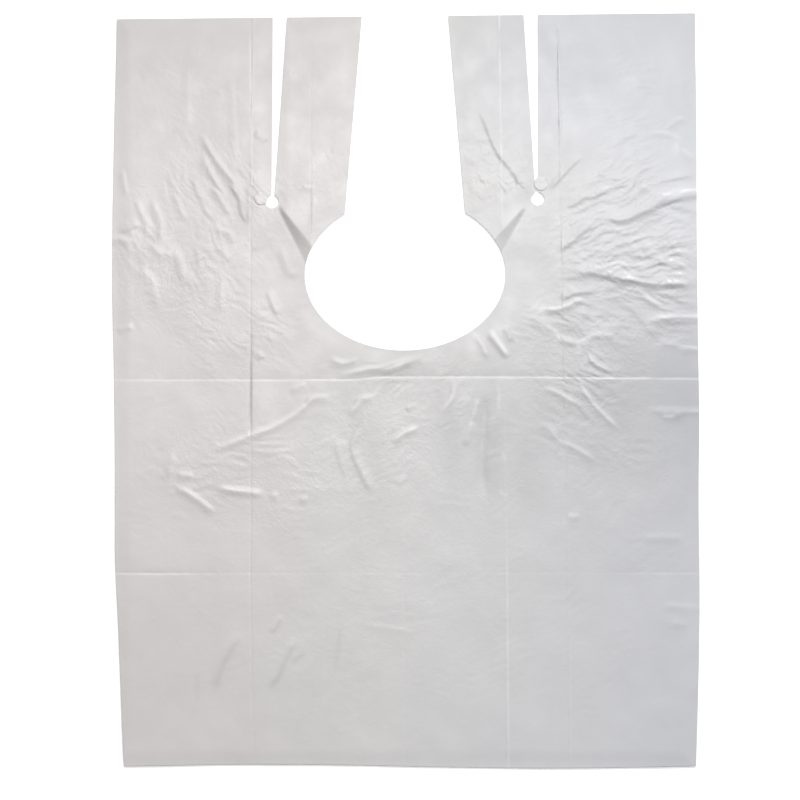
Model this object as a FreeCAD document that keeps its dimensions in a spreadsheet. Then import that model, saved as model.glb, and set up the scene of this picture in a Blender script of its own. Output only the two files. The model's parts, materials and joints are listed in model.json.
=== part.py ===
import FreeCAD, Part
import os

# A disposable barber cape: one die-cut sheet of thin film, laid out flat.
#
# The film is modelled as the panels between its factory creases and its cuts. Each panel is a thin
# plate of its own. The tie straps, the shoulders, the lap row and the hem row turn on the creases
# that run across the cape.
#
# Frame: millimetres, +Z up, +X across the cape, +Y from the hem to the ends of the tie straps.
# The origin is the centre of the cape, on the surface that it lies on.

# name, value and meaning of every driving dimension
DIMENSIONS = [
    ("cape_width", 900, "from side edge to side edge"),
    ("fold_pitch", 300, "height of each full row, from one cross crease to the next"),
    ("top_row", 262, "height of the short row above the upper cross crease"),
    ("film", 0.5, "thickness of the plate that stands for the film and its creasing"),
    ("inner_crease", 150, "inner lengthwise creases to the centre line"),
    ("outer_crease", 240, "outer lengthwise creases to the centre line"),
    ("neck_half_width", 155, "half the width of the neck opening"),
    ("neck_half_depth", 118, "half the depth of the neck opening's oval"),
    ("neck_below_crease", 138, "centre of the oval to the upper cross crease"),
    ("gap_half_root", 93, "half the gap between the tie straps, at the neck opening"),
    ("gap_half_end", 67, "half the gap between the tie straps, at their ends"),
    ("slit_line", 206, "straight edge of each slit to the centre line"),
    ("slit_width_root", 4, "width of each slit at its punched hole"),
    ("slit_width_end", 22, "width of each slit at the top edge"),
    ("punch_across", 205, "punched holes to the centre line"),
    ("punch_below_crease", 23, "punched holes to the upper cross crease"),
    ("punch_radius", 10.5, "radius of the punched holes"),
    ("die_reach", 5, "how far the cutting dies run past the film"),
]

# lines that several panels share, worked out from the dimensions above
SHARED_LINES = [
    ("side_edge", "=cape_width / 2"),
    ("hem_edge", "=-(3 * fold_pitch + top_row) / 2"),
    ("hem_crease", "=hem_edge + fold_pitch"),
    ("lap_crease", "=hem_crease + fold_pitch"),
    ("upper_crease", "=lap_crease + fold_pitch"),
    ("top_edge", "=upper_crease + top_row"),
    ("neck_centre", "=upper_crease - neck_below_crease"),
    ("punch_centre", "=upper_crease - punch_below_crease"),
]

doc = FreeCAD.newDocument("barber_cape")
panels = []


def fill_sheet():
    """Write the dimensions and the shared lines into one sheet, each under its own alias."""
    sheet = doc.addObject("Spreadsheet::Sheet", "sizes")
    rows = [(name, str(value), note) for name, value, note in DIMENSIONS]
    rows += [(name, formula, "worked out") for name, formula in SHARED_LINES]
    for row, (name, _, note) in enumerate(rows, start=1):
        sheet.set(f"A{row}", name)
        sheet.setAlias(f"B{row}", name)
        sheet.set(f"C{row}", note)
    for row, (_, content, _) in enumerate(rows, start=1):
        sheet.set(f"B{row}", content)
    doc.recompute()


def bind(item, **formulas):
    """Tie an object's properties to formulas in the sheet's aliases. x and y are its place."""
    for name, formula in formulas.items():
        path = f"Placement.Base.{name}" if name in ("x", "y") else name
        item.setExpression(path, formula.format_map(Aliases()))


class Aliases(dict):
    """Lets a formula name a cell of the sheet as {alias}."""

    def __missing__(self, alias):
        return f"sizes.{alias}"


def keep(item, node):
    """Name a finished panel after its node and remember it."""
    item.Label = node
    panels.append(item)
    return item


def mirrored(near, far, side):
    """Turn two distances from the centre line into the low and high X on one side."""
    return (f"-({far})", f"-({near})") if side == "left" else (near, far)


def plate(name, x_span, y_span):
    """A rectangle of film."""
    box = doc.addObject("Part::Box", name)
    bind(box, Length=f"{x_span[1]} - ({x_span[0]})", Width=f"{y_span[1]} - ({y_span[0]})",
         Height="{film}", x=x_span[0], y=y_span[0])
    return box


def tapered_die(name, y_span, low_pair, high_pair):
    """A cutting die with straight sides: X from low_pair at one end to high_pair at the other."""
    die = doc.addObject("Part::Wedge", name)
    bind(die, Xmin=low_pair[0], Xmax=low_pair[1], X2min=high_pair[0], X2max=high_pair[1],
         Ymin=y_span[0], Ymax=y_span[1], Zmin="-{die_reach}", Z2min="-{die_reach}",
         Zmax="{film} + {die_reach}", Z2max="{film} + {die_reach}")
    return die


def neck_die():
    """The oval cutter of the neck opening."""
    oval = doc.addObject("Part::Ellipse", "neck_oval")
    bind(oval, MajorRadius="{neck_half_width}", MinorRadius="{neck_half_depth}", y="{neck_centre}")
    die = doc.addObject("Part::Extrusion", "neck_die")
    die.Base = oval
    die.DirMode = "Normal"
    die.Solid = True
    bind(die, LengthFwd="{film} + {die_reach}", LengthRev="{die_reach}")
    return die


def gap_die():
    """The cutter of the gap between the two tie straps, from inside the oval to the top edge."""
    return tapered_die("gap_die", ("{neck_centre}", "{top_edge}"),
                       gap_edges("{neck_centre}"), gap_edges("{top_edge}"))


def gap_edges(line):
    """X of the gap's two slanted edges where they meet a line across the cape."""
    # the edge runs straight from the oval, at gap_half_root, to the top edge, at gap_half_end
    root = "({neck_centre} + {neck_half_depth} * sqrt(1 - pow({gap_half_root} / {neck_half_width}; 2)))"
    slope = f"(({{gap_half_root}} - {{gap_half_end}}) / ({{top_edge}} - {root}))"
    half = f"({{gap_half_root}} - {slope} * ({line} - {root}))"
    return f"-{half}", half


def slit_die(side):
    """The cutter of one slit, from its punched hole to the top edge. Its outer edge is straight."""
    return tapered_die(
        f"{side}_slit_die", ("{punch_centre}", "{top_edge}"),
        mirrored("{slit_line} - {slit_width_root}", "{slit_line}", side),
        mirrored("{slit_line} - {slit_width_end}", "{slit_line}", side))


def punch(side):
    """The round punch at the foot of one slit, which stops the film from tearing on."""
    cutter = doc.addObject("Part::Cylinder", f"{side}_punch")
    across = "-{punch_across}" if side == "left" else "{punch_across}"
    bind(cutter, Radius="{punch_radius}", Height="{film} + 2 * {die_reach}",
         x=across, y="{punch_centre}")
    cutter.setExpression("Placement.Base.z", "-sizes.die_reach")
    return cutter


def cut(blank, dies):
    """Cut a blank with one die after another."""
    for die in dies:
        piece = doc.addObject("Part::Cut", f"{blank.Name}_cut")
        piece.Base = blank
        piece.Tool = die
        blank = piece
    return blank


def full_row(row, y_span):
    """A row that runs across the whole cape: five plates."""
    keep(plate(f"{row}_centre", ("-{inner_crease}", "{inner_crease}"), y_span), f"{row}_centre")
    for side in ("left", "right"):
        spans = {"inner": ("{inner_crease}", "{outer_crease}"),
                 "outer": ("{outer_crease}", "{side_edge}")}
        for place, (near, far) in spans.items():
            name = f"{side}_{row}_{place}"
            keep(plate(name, mirrored(near, far, side), y_span), name)


def chest_row(neck, gap, slits, punches):
    """The row that holds the neck opening, the roots of the straps and the punched holes."""
    whole = ("{lap_crease}", "{upper_crease}")
    centre = plate("chest_centre_blank", ("-{inner_crease}", "{inner_crease}"),
                   ("{lap_crease}", "{neck_centre}"))
    keep(cut(centre, [neck]), "chest_centre")
    for side in ("left", "right"):
        outer = plate(f"{side}_chest_outer", mirrored("{outer_crease}", "{side_edge}", side), whole)
        keep(outer, f"{side}_chest_outer")
        inner = plate(f"{side}_chest_inner_blank",
                      mirrored("{inner_crease}", "{outer_crease}", side), whole)
        keep(cut(inner, [slits[side], punches[side], neck]), f"{side}_chest_inner")
        root = plate(f"{side}_strap_root_blank",
                     mirrored("{gap_half_end}", "{inner_crease}", side),
                     ("{neck_centre}", "{upper_crease}"))
        keep(cut(root, [neck, gap]), f"{side}_strap_root")


def top_row(gap, slits):
    """The shoulders and the tie straps, above the upper cross crease."""
    span = ("{upper_crease}", "{top_edge}")
    for side in ("left", "right"):
        for place, near, far in (("outer", "{outer_crease}", "{side_edge}"),
                                 ("inner", "{slit_line}", "{outer_crease}")):
            name = f"{side}_shoulder_{place}"
            keep(plate(name, mirrored(near, far, side), span), name)
        outer = plate(f"{side}_tie_outer_blank",
                      mirrored("{inner_crease}", "{slit_line}", side), span)
        keep(cut(outer, [slits[side]]), f"{side}_tie_outer")
        inner = plate(f"{side}_tie_inner_blank",
                      mirrored("{gap_half_end}", "{inner_crease}", side), span)
        keep(cut(inner, [gap]), f"{side}_tie_inner")


def check_and_write():
    """Refuse a failed object or a bad shape, then write each panel to its own file."""
    doc.recompute()
    for item in doc.Objects:
        if {"Invalid", "Error"} & set(item.State):
            raise RuntimeError(f"{item.Label} failed: {item.State}")
    for panel in panels:
        shape = panel.Shape
        if shape.isNull() or not shape.isValid() or len(shape.Solids) != 1:
            raise RuntimeError(f"{panel.Label} isn't one valid solid")
    os.makedirs("parts", exist_ok=True)
    for panel in panels:
        panel.Shape.exportStep(f"parts/{panel.Label}.step")


fill_sheet()
neck = neck_die()
gap = gap_die()
slits = {side: slit_die(side) for side in ("left", "right")}
punches = {side: punch(side) for side in ("left", "right")}
top_row(gap, slits)
chest_row(neck, gap, slits, punches)
full_row("lap", ("{hem_crease}", "{lap_crease}"))
full_row("hem", ("{hem_edge}", "{hem_crease}"))
check_and_write()
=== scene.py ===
"""A disposable barber cape of thin, cloudy film, laid out flat and still creased from its packet.

The film is one die-cut sheet. It is built here as the panels that turn on the cross creases. Each
panel is a closed thin shell, and one field of creases, wrinkles and crumpled patches gives them all
their relief, so they meet without a step. Distances in the tables are millimetres from the middle
of the cape, x across it and y up it towards the ties; meshes are in metres.
"""

import json
import logging
from dataclasses import dataclass
from enum import Enum

import bpy
import numpy as np
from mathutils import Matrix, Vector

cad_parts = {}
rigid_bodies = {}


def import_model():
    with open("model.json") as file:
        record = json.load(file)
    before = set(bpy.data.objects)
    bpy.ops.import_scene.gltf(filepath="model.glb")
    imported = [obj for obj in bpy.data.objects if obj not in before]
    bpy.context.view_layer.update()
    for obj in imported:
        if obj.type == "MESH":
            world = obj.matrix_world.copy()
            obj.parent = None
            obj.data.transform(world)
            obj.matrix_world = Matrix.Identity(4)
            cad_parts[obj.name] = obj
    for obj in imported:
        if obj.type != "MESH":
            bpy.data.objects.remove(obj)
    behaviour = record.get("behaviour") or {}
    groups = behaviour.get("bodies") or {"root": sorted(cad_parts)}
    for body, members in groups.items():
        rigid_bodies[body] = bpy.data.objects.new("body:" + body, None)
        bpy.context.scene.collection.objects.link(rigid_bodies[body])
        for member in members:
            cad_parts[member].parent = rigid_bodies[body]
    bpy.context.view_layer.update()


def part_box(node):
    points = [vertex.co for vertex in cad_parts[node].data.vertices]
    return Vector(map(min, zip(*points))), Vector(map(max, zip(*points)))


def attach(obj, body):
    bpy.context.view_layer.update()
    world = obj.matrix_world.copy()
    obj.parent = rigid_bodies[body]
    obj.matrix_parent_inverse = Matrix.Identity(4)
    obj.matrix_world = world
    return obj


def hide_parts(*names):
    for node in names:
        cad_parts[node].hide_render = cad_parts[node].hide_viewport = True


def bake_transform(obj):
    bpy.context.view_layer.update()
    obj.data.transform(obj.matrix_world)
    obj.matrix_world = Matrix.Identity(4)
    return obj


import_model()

MM = 0.001
log = logging.getLogger("barber_cape")
Point = tuple[float, float]
Points = tuple[Point, ...]
Colour = tuple[float, float, float, float]


class Side(Enum):
    """Side of the cape, seen from above with the ties at the top."""

    LEFT = -1
    RIGHT = 1

    @property
    def word(self) -> str:
        """The side's name, as piece and body names spell it."""
        return self.name.lower()

    def span(self, inner: float, outer: float) -> Point:
        """Least and greatest x between two distances off the middle, on this side."""
        return min(self.value * inner, self.value * outer), max(self.value * inner, self.value * outer)


class Edge(Enum):
    """One side of a panel's box, as its corner and its axis."""

    LEFT = (0, 0)
    RIGHT = (1, 0)
    FOOT = (0, 1)
    HEAD = (1, 1)

    def of(self, node: str) -> float:
        """Where this side of a CAD panel is, to a hundredth of a millimetre."""
        corner, axis = self.value
        return round(float(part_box(node)[corner][axis]) / MM, 2)


def smooth(t: np.ndarray) -> np.ndarray:
    """Ease from 0 to 1 as t goes from 0 to 1."""
    t = np.clip(t, 0.0, 1.0)
    return t * t * (3.0 - 2.0 * t)


def turned(x: np.ndarray, y: np.ndarray, centre: Point, degrees: float) -> tuple[np.ndarray, np.ndarray]:
    """Measure points along and across a turned line through a centre.

    Args:
        x, y: Places on the cape, in millimetres.
        centre: Where the distances are measured from.
        degrees: Turn of the line from the x axis.

    Returns:
        Each point's distances along and across the line.
    """
    c, s = np.cos(np.radians(degrees)), np.sin(np.radians(degrees))
    dx, dy = x - centre[0], y - centre[1]
    return c * dx + s * dy, c * dy - s * dx


class Noise:
    """Smooth seeded gradient noise over the plane, between about -0.7 and 0.7."""

    TABLE = 64

    def __init__(self, seed: int) -> None:
        """Draw the table of gradients that the seed fixes."""
        angle = np.random.default_rng(seed).uniform(0.0, 2.0 * np.pi, (self.TABLE, self.TABLE))
        self.gx, self.gy = np.cos(angle), np.sin(angle)

    def __call__(self, x: np.ndarray, y: np.ndarray, cell: float) -> np.ndarray:
        """Read the noise.

        Args:
            x, y: Places on the cape, in millimetres.
            cell: Width of the pattern's cells.

        Returns:
            Value at each place.
        """
        u, v = x / cell, y / cell
        i, j = np.floor(u).astype(int), np.floor(v).astype(int)
        fu, fv = u - i, v - j

        def corner(a: int, b: int) -> np.ndarray:
            """Pull of the gradient at one corner of each point's cell."""
            ia, jb = (i + a) % self.TABLE, (j + b) % self.TABLE
            return self.gx[ia, jb] * (fu - a) + self.gy[ia, jb] * (fv - b)

        su = fu ** 3 * (fu * (6.0 * fu - 15.0) + 10.0)
        sv = fv ** 3 * (fv * (6.0 * fv - 15.0) + 10.0)
        low = corner(0, 0) * (1 - su) + corner(1, 0) * su
        high = corner(0, 1) * (1 - su) + corner(1, 1) * su
        return low * (1 - sv) + high * sv

    def rows(self, run: np.ndarray, layers: tuple[tuple[float, float, float], ...]) -> np.ndarray:
        """Add up a few rows of the pattern along a line.

        Args:
            run: Distances along the line.
            layers: Strength, place and cell width of each row.

        Returns:
            Their sum at each distance.
        """
        return sum(strength * self(run, np.full_like(run, row), cell) for strength, row, cell in layers)


@dataclass(frozen=True)
class Ripple:
    """One layer of smooth noise, with a strength of its own."""

    seed: int
    cell: float
    strength: float

    def __call__(self, x: np.ndarray, y: np.ndarray) -> np.ndarray:
        """Value of the layer at each point."""
        return self.strength * Noise(self.seed)(x, y, self.cell)


class Mark:
    """Something that changes the film about one place: how high it lies, or how milky it is and how much
    light or shade is painted into its grey.
    """

    def near(self, x: np.ndarray, y: np.ndarray) -> np.ndarray:
        """Whether the mark reaches each point."""
        return np.ones(len(x), bool)

    def amount(self, x: np.ndarray, y: np.ndarray) -> np.ndarray:
        """What the mark adds at each point that it reaches."""
        raise NotImplementedError

    def add(self, x: np.ndarray, y: np.ndarray, field_: np.ndarray) -> None:
        """Add the mark to a field, in place.

        Args:
            x, y: Places on the cape, in millimetres.
            field_: Heights, or milkiness with painted light and shade, to add to.
        """
        near = np.nonzero(self.near(x, y))[0]
        if len(near):
            field_[near] += self.amount(x[near], y[near])


@dataclass(frozen=True)
class Wrinkle(Mark):
    """One fold of slack film, drawn as a few points along its crest."""

    # As a painted streak, its height is the strength of a painted highlight, or of painted shade if negative.
    path: Points
    height: float
    left: float
    right: float
    runs_out: bool = False

    STEPS = 6
    REACH = 3.2
    TAPER = 0.24

    def line(self) -> np.ndarray:
        """Draw a smooth curve through the path.

        Returns:
            Points along the curve.
        """
        knots = np.array(self.path, float)
        if len(knots) == 2:
            knots = np.array([knots[0], knots.mean(axis=0), knots[1]])
        ends = np.vstack([2 * knots[0] - knots[1], knots, 2 * knots[-1] - knots[-2]])
        out = []
        for a, b, c, d in zip(ends, ends[1:], ends[2:], ends[3:]):
            for t in np.linspace(0.0, 1.0, self.STEPS, endpoint=False):
                out.append(0.5 * (2 * b + (c - a) * t + (2 * a - 5 * b + 4 * c - d) * t ** 2
                                  + (3 * b - a - 3 * c + d) * t ** 3))
        out.append(knots[-1])
        return np.array(out)

    def near(self, x: np.ndarray, y: np.ndarray) -> np.ndarray:
        """Find the points about the crest.

        Args:
            x, y: Places on the cape, in millimetres.

        Returns:
            Whether each place is near enough to be raised.
        """
        line, reach = self.line(), self.REACH * max(self.left, self.right)
        low, high = line.min(axis=0) - reach, line.max(axis=0) + reach
        return (x > low[0]) & (x < high[0]) & (y > low[1]) & (y < high[1])

    def amount(self, x: np.ndarray, y: np.ndarray) -> np.ndarray:
        """Work out the height from the distance off the crest and along it.

        Args:
            x, y: Places on the cape, in millimetres.

        Returns:
            Height at each place.
        """
        line = self.line()
        steps = np.diff(line, axis=0)
        lengths = np.hypot(steps[:, 0], steps[:, 1])
        best = np.full(len(x), np.inf)
        side, along = np.zeros(len(x)), np.zeros(len(x))
        walked = 0.0
        for start, step, length in zip(line, steps, lengths):
            dx, dy = x - start[0], y - start[1]
            t = np.clip((dx * step[0] + dy * step[1]) / length ** 2, 0.0, 1.0)
            ox, oy = dx - t * step[0], dy - t * step[1]
            distance = np.hypot(ox, oy)
            closer = distance < best
            best[closer] = distance[closer]
            side[closer] = np.sign(step[0] * oy - step[1] * ox)[closer]
            along[closer] = (walked + t[closer] * length) / lengths.sum()
            walked += length
        width = np.where(side > 0, self.left, self.right)
        taper = smooth(along / self.TAPER)
        if not self.runs_out:
            taper = taper * smooth((1.0 - along) / self.TAPER)
        return self.height * taper * np.exp(-(best / width) ** 2)


@dataclass(frozen=True)
class Patch(Mark):
    """A crumpled area: many small ridges that run about one way and fade out at its rim.

    The ridges are `across` apart and about `along` long. Each layer has its share of that spacing,
    its weight, and how far it slides along the pattern.
    """

    centre: Point
    reach: Point
    turn: float
    height: float
    across: float
    along: float
    seed: int

    RIM_STEEPNESS = 1.35
    LAYERS = ((1.0, 1.0, 0.0), (0.55, 0.5, 300.0), (0.3, 0.22, 900.0))
    RIDGE_NARROWNESS = 2.2
    RIDGE_SHARPNESS = 1.3

    def window(self, x: np.ndarray, y: np.ndarray) -> np.ndarray:
        """Share of the patch's full height at each point."""
        u, v = turned(x, y, self.centre, self.turn)
        return smooth(self.RIM_STEEPNESS * (1.0 - np.hypot(u / self.reach[0], v / self.reach[1])))

    def near(self, x: np.ndarray, y: np.ndarray) -> np.ndarray:
        """Whether each point lies in the patch."""
        return self.window(x, y) > 0.0

    def amount(self, x: np.ndarray, y: np.ndarray) -> np.ndarray:
        """Lay bent, broken ridges over the patch.

        Args:
            x, y: Places on the cape, in millimetres.

        Returns:
            Height at each place.
        """
        u, v = turned(x, y, self.centre, self.turn)
        noise = Noise(self.seed)
        squeeze = self.across / self.along
        bend = self.across * (1.5 * noise(u + 500.0, v, 2.0 * self.along)
                              + 0.8 * noise(u, v + 700.0, 0.8 * self.along))
        folds = np.zeros_like(u)
        for share, weight, slide in self.LAYERS:
            ripple = np.abs(noise((u + slide) * squeeze, v + bend, share * self.across))
            folds += weight * (1.0 - np.minimum(1.0, ripple * self.RIDGE_NARROWNESS)) ** self.RIDGE_SHARPNESS
        broken = smooth(0.5 + 1.2 * noise(u, v, 1.6 * self.along))
        return self.height * self.window(x, y) * folds * broken


@dataclass(frozen=True)
class Pleat(Mark):
    """A tuck that runs from a point and widens: a flat riser, then film that settles back."""

    tip: Point
    upper: Point
    lower: Point
    height: float
    settle: float = 24.0

    TIP_HALF_WIDTH = 1.6
    WIDEST = 1.6
    RISE_START, RISE_RUN = -0.05, 0.25
    FADE_END, FADE_RUN = 2.2, 0.9
    BAND_START, BAND_RUN, BAND_END = -0.02, 0.08, 1.6
    BAND_BLUR = 2.0

    def place(self, x: np.ndarray, y: np.ndarray) -> tuple[np.ndarray, np.ndarray, np.ndarray]:
        """Find each point's place about the riser.

        Args:
            x, y: Places on the cape, in millimetres.

        Returns:
            Its share of the way along the riser, its distance off the riser's middle, and the
            riser's half width there.
        """
        tip, upper, lower = (np.array(p, float) for p in (self.tip, self.upper, self.lower))
        run = (upper + lower) / 2 - tip
        length = float(np.hypot(*run))
        run = run / length
        across = np.array([-run[1], run[0]])
        if np.dot(upper - lower, across) < 0:
            across = -across
        half = abs(float(np.dot(upper - lower, across))) / 2
        dx, dy = x - tip[0], y - tip[1]
        along = (dx * run[0] + dy * run[1]) / length
        width = self.TIP_HALF_WIDTH + (half - self.TIP_HALF_WIDTH) * along
        return along, dx * across[0] + dy * across[1], np.clip(width, self.TIP_HALF_WIDTH, self.WIDEST * half)

    def amount(self, x: np.ndarray, y: np.ndarray) -> np.ndarray:
        """Raise the film over the riser and let it settle beyond.

        Args:
            x, y: Places on the cape, in millimetres.

        Returns:
            Height at each place.
        """
        along, off, half = self.place(x, y)
        rise = np.clip((off + half) / (2 * half), 0.0, 1.0)
        fall = np.exp(-np.clip(off - half, 0.0, None) / self.settle)
        start = smooth((along - self.RISE_START) / self.RISE_RUN)
        end = smooth((self.FADE_END - along) / self.FADE_RUN)
        return self.height * start * end * rise * fall

    def band(self, x: np.ndarray, y: np.ndarray) -> np.ndarray:
        """1 on the riser, where the film lies doubled and its grey is painted darker as shade, and 0 off it.
        """
        along, off, half = self.place(x, y)
        ends = smooth((along - self.BAND_START) / self.BAND_RUN) * (along < self.BAND_END)
        return smooth(1.0 + (half - np.abs(off)) / self.BAND_BLUR) * ends


@dataclass(frozen=True)
class PackingCrease(Mark):
    """A crease pressed in the packet.

    Negative depths are grooves and positive ones ridges. The side further up or to the right is
    `slack` times as wide as the other. Where it is deepest, a milky line is added by `white`: partly
    the film whitened in the fold, partly a painted highlight. A lengthwise crease leans by `lean`,
    and a crosswise one steps off its place by `steps`.
    """

    lengthwise: bool
    place: float
    depth: Points
    width: float
    seed: int
    lean: float = 0.0
    slack: float = 1.0
    # Strength of the milky line along the crease: partly whitened film, partly a painted highlight.
    white: float = 0.0
    steps: Points = ((0.0, 0.0), (1.0, 0.0))

    REACH = 6.0
    LEAST_SLACK = 1.5
    CREST_RADIUS = 0.4
    WHITE_WIDTH = 1.5
    WANDER = ((1.0, 0.0, 120.0), (0.35, 9.0, 23.0))
    UNEVEN = ((1.0, 50.0, 34.0), (0.5, 70.0, 11.0))
    BROKEN = ((1.1, 0.0, 47.0), (0.6, 30.0, 13.0))
    WHOLENESS = 0.8

    def off(self, x: np.ndarray, y: np.ndarray) -> np.ndarray:
        """Measure how far points of the cut sheet are from the crease.

        Args:
            x, y: Places on the cut sheet, in millimetres.

        Returns:
            Distance of each place, with its sign.
        """
        if self.lengthwise:
            return x - self.place - self.lean * y
        run, step = np.array(self.steps, float).T
        return y - self.place - np.interp(x, run, step)

    def pressed(self, run: np.ndarray) -> np.ndarray:
        """The drawn depth at each distance along the crease."""
        stations, depth = np.array(self.depth, float).T
        return np.interp(run, stations, depth)

    def near(self, x: np.ndarray, y: np.ndarray) -> np.ndarray:
        """Whether the crease reaches each point."""
        return np.abs(self.off(x, y)) < self.REACH * self.width * max(self.LEAST_SLACK, self.slack)

    def amount(self, x: np.ndarray, y: np.ndarray) -> np.ndarray:
        """Press the crease, a little crooked and uneven.

        Args:
            x, y: Places on the cut sheet, in millimetres.

        Returns:
            Height at each place.
        """
        noise, run = Noise(self.seed), y if self.lengthwise else x
        off = self.off(x, y) + noise.rows(run, self.WANDER)
        depth = self.pressed(run) * (1.0 + noise.rows(run, self.UNEVEN))
        width = np.where(off > 0.0, self.slack * self.width, self.width)
        return depth * np.exp(-(np.hypot(off, self.CREST_RADIUS) - self.CREST_RADIUS) / width)

    def whiten(self, x: np.ndarray, y: np.ndarray, field_: np.ndarray) -> None:
        """Add the milky line along the crease, partly whitened film and partly a painted highlight, to a
        field, in place.

        Args:
            x, y: Places on the cut sheet, in millimetres.
            field_: Milkiness with painted light to add to.
        """
        run = y if self.lengthwise else x
        broken = np.clip(self.WHOLENESS + Noise(self.seed + 1).rows(run, self.BROKEN), 0.0, None)
        share = np.abs(self.pressed(run)) / max(abs(depth) for _, depth in self.depth)
        field_ += self.white * share * broken * np.exp(-(self.off(x, y) / self.WHITE_WIDTH) ** 2)


@dataclass(frozen=True)
class Spot(Mark):
    """A broad, smooth spot: a shallow hill of trapped air, or an area of painted light or painted shade in
    the film's grey.
    """

    centre: Point
    reach: Point
    turn: float
    height: float

    def amount(self, x: np.ndarray, y: np.ndarray) -> np.ndarray:
        """Height, or painted light or shade, at each point."""
        u, v = turned(x, y, self.centre, self.turn)
        return self.height * np.exp(-((u / self.reach[0]) ** 2 + (v / self.reach[1]) ** 2))


CREST = 0.85  # millimetres of height for each unit of a wrinkle's strength


def bright(path: Points, strength: float, steep: float = 3.0, gentle: float = 7.0,
           runs_out: bool = False) -> Wrinkle:
    """A wrinkle, drawn from its left end, whose steep side faces up the cape."""
    return Wrinkle(path, CREST * strength, steep, gentle, runs_out)


def shaded(path: Points, strength: float, gentle: float = 8.0, steep: float = 3.4,
           runs_out: bool = False) -> Wrinkle:
    """A wrinkle, drawn from its left end, whose steep side faces down the cape."""
    return Wrinkle(path, CREST * strength, gentle, steep, runs_out)


def groove(path: Points, depth: float, width: float = 3.0) -> Wrinkle:
    """A narrow pressed line."""
    return Wrinkle(path, -depth, width, width)


def pinched(path: Points, amount: float = 0.3, width: float = 2.0) -> Wrinkle:
    """A thin streak of painted highlight along a wrinkle, partly the film's own whitening, or of painted
    shade if the amount is negative.
    """
    return Wrinkle(path, amount, width, width)


LEFT_SHOULDER_WRINKLES = (
    bright(((-318, 403), (-298, 369), (-277, 339), (-251, 309)), 1.9),
    bright(((-315, 369), (-301, 339), (-288, 318), (-277, 298)), 1.4),
    shaded(((-273, 323), (-257, 299), (-252, 276), (-244, 258)), 2.0),
    bright(((-299, 318), (-281, 291), (-268, 271)), 1.3),
    bright(((-394, 301), (-378, 262), (-377, 233), (-370, 222)), 1.3),
    bright(((-358, 307), (-339, 262)), 1.0),
    bright(((-303, 258), (-287, 250), (-271, 244), (-264, 225)), 1.2),
    bright(((-478, 242), (-436, 234), (-418, 233)), 1.8, 4.0, 8.0),
    shaded(((-446, 246), (-428, 252), (-410, 260)), 1.3),
    bright(((-408, 228), (-392, 225), (-380, 214), (-355, 211), (-347, 198), (-336, 160)), 1.3, 5.0, 11.0),
    bright(((-412, 201), (-402, 181), (-391, 169), (-382, 124)), 0.8, 5.0, 9.0),
    bright(((-321, 220), (-317, 189)), 0.9),
    bright(((-287, 225), (-270, 201)), 0.9),
    bright(((-439, 346), (-431, 301)), 0.9),
    bright(((-448, 95), (-431, 99), (-422, 104)), 1.0),
    bright(((-284, 197), (-284, 118)), 0.7),
    bright(((-337, 505), (-335, 405)), 0.25, 4.0, 8.0),
    bright(((-270, 504), (-262, 374), (-250, 358)), 0.5, 4.0, 8.0),
    shaded(((-214, 157), (-202, 127), (-194, 118)), 1.1),
    bright(((-228, 62), (-220, 50)), 1.0),
    bright(((-194, 225), (-179, 189), (-175, 184), (-157, 184)), 1.2, 5.0, 8.0),
    bright(((-238, 217), (-205, 246)), 0.6),
    shaded(((-330, 330), (-318, 300), (-300, 262)), 0.8),
    shaded(((-420, 300), (-404, 262), (-398, 240)), 0.8),
)

MIDDLE_WRINKLES = (
    bright(((-98, 25), (-60, 34), (-39, 37), (-8, 47), (24, 54)), 1.4),
    bright(((-40, 30), (-10, 38), (14, 50)), 1.2),
    bright(((128, 94), (143, 75), (162, 50)), 2.2, 4.0, 6.0),
    bright(((108, 92), (122, 70), (130, 48)), 1.3, 3.0, 6.0),
    bright(((-118, 52), (-96, 44), (-70, 50)), 1.0),
    bright(((-2, 42), (29, 55)), 0.9),
    bright(((-89, -38), (-76, -23), (-70, -12), (-48, -7)), 1.3),
    bright(((-157, -19), (-143, -10), (-115, -10)), 1.1),
    bright(((-179, 0), (-153, 13)), 0.9),
    bright(((0, -28), (18, -21)), 0.8),
    bright(((-22, -79), (-2, -64), (22, -56)), 1.4),
    bright(((-15, -143), (2, -130)), 0.7),
    bright(((57, -38), (72, -8), (76, 19)), 1.1),
    bright(((102, -43), (113, -12)), 1.0),
    bright(((90, -86), (105, -47)), 1.0),
    groove(((124, 3), (121, -60), (118, -120), (124, -170)), 1.6, 8.0),
    shaded(((-70, -50), (-82, -84), (-75, -110), (-62, -138), (-48, -164)), 1.3, 7.0, 3.6),
    shaded(((-108, -73), (-102, -105), (-89, -138)), 0.6, 5.0, 2.6),
    bright(((-70, -360), (-30, -366), (23, -375)), 0.4),
    bright(((155, 101), (168, 77)), 1.2),
)

LEFT_LAP_WRINKLES = (
    bright(((-305, -92), (-270, -80), (-240, -68), (-201, -53), (-163, -29), (-130, 2)), 1.5, 3.4, 8.0),
    bright(((-292, -146), (-273, -152), (-229, -157), (-215, -163)), 2.0),
    bright(((-210, -160), (-196, -162)), 1.0),
    bright(((-164, -168), (-150, -166)), 0.9),
    bright(((-357, -146), (-335, -158), (-314, -172), (-292, -191)), 1.5),
    shaded(((-368, -139), (-357, -95)), 1.0),
    bright(((-353, -128), (-327, -130)), 0.8),
    shaded(((-294, -466), (-284, -428), (-271, -401), (-252, -374)), 1.1, 9.0, 5.0),
    shaded(((-209, -376), (-188, -348)), 0.6, 7.0, 4.0),
    shaded(((-211, -462), (-194, -437), (-183, -412), (-166, -380)), 1.1, 8.0, 4.0),
)

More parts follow.
